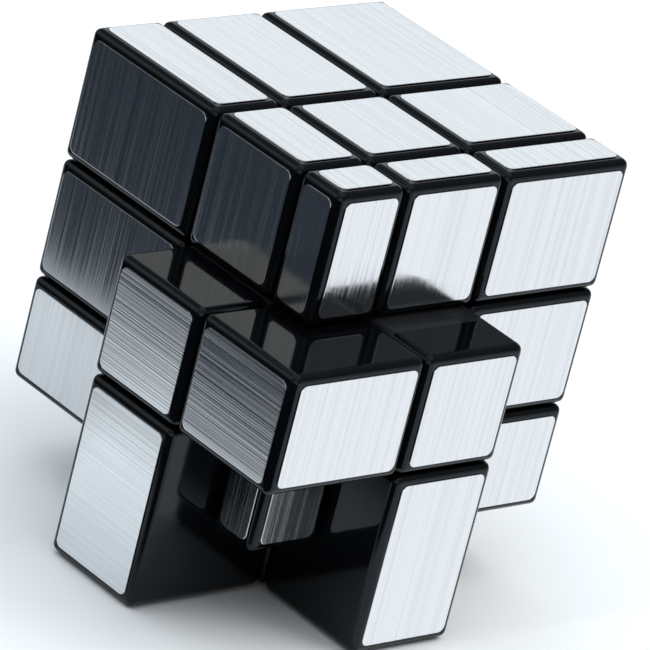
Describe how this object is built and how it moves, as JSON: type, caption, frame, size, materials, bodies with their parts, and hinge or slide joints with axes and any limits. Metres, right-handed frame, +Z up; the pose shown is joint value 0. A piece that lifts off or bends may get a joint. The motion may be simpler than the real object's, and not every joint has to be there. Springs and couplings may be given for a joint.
{
  "type": "mirror block cube",
  "caption": "Twisty block puzzle of unequal hollow blocks faced with brushed silver film; outer layers turn on a hidden core, and blocks around one corner stand proud.",
  "frame": {"origin": "on the plane that the puzzle rests on, at the middle of the bottom centre block, straight below the centre of the core", "axes": "+Z up along the axis of the top and bottom layers, +X towards the right side, -Y towards the front side, so that the proud blocks surround the front right bottom corner"},
  "size_m": [0.069, 0.069, 0.069],
  "materials": {
    "block_plastic": "polished black moulded plastic",
    "mechanism_plastic": "satin black moulded plastic",
    "core_plastic": "matte black moulded plastic",
    "silver_film": "metallised film with fine brushed lines",
    "steel": "zinc plated"
  },
  "bodies": {
    "middle_layer": {"edge_front_left": "block_plastic", "edge_front_right": "block_plastic", "edge_back_left": "block_plastic", "edge_back_right": "block_plastic", "centre_cap_front": "block_plastic", "centre_cap_left": "block_plastic", "centre_cap_right": "block_plastic", "centre_cap_back": "block_plastic", "centre_base_front": "mechanism_plastic", "centre_base_left": "mechanism_plastic", "centre_base_right": "mechanism_plastic", "centre_base_back": "mechanism_plastic", "edge_feet_middle": "mechanism_plastic", "stickers_middle_layer_front": "silver_film", "proud_stickers_middle_layer_front": "silver_film", "stickers_middle_layer_back": "silver_film", "stickers_middle_layer_left": "silver_film", "stickers_middle_layer_right": "silver_film", "proud_stickers_middle_layer_right": "silver_film", "core": "core_plastic", "screws": "steel", "springs": "steel", "washers": "steel"},
    "top_layer": {"corner_top_front_left": "block_plastic", "corner_top_front_right": "block_plastic", "corner_top_back_left": "block_plastic", "corner_top_back_right": "block_plastic", "edge_top_front": "block_plastic", "edge_top_left": "block_plastic", "edge_top_right": "block_plastic", "edge_top_back": "block_plastic", "centre_cap_top": "block_plastic", "centre_base_top": "mechanism_plastic", "corner_feet_top": "mechanism_plastic", "edge_feet_top": "mechanism_plastic", "stickers_top_layer_front": "silver_film", "stickers_top_layer_back": "silver_film", "stickers_top_layer_left": "silver_film", "stickers_top_layer_right": "silver_film", "stickers_top_layer_top": "silver_film"},
    "bottom_layer": {"corner_bottom_front_left": "block_plastic", "corner_bottom_front_right": "block_plastic", "corner_bottom_back_left": "block_plastic", "corner_bottom_back_right": "block_plastic", "edge_bottom_front": "block_plastic", "edge_bottom_left": "block_plastic", "edge_bottom_right": "block_plastic", "edge_bottom_back": "block_plastic", "centre_cap_bottom": "block_plastic", "centre_base_bottom": "mechanism_plastic", "corner_feet_bottom": "mechanism_plastic", "edge_feet_bottom": "mechanism_plastic", "stickers_bottom_layer_front": "silver_film", "proud_stickers_bottom_layer_front": "silver_film", "stickers_bottom_layer_back": "silver_film", "stickers_bottom_layer_left": "silver_film", "stickers_bottom_layer_right": "silver_film", "proud_stickers_bottom_layer_right": "silver_film", "stickers_bottom_layer_bottom": "silver_film", "proud_stickers_bottom_layer_bottom": "silver_film"}
  },
  "joints": [
    {"name": "top_layer_turn", "type": "hinge", "parent": "middle_layer", "child": "top_layer", "pos_m": [0, 0, 0.0385], "axis": [0, 0, 1], "continuous": true},
    {"name": "bottom_layer_turn", "type": "hinge", "parent": "middle_layer", "child": "bottom_layer", "pos_m": [0, 0, 0.0385], "axis": [0, 0, 1], "continuous": true}
  ]
}
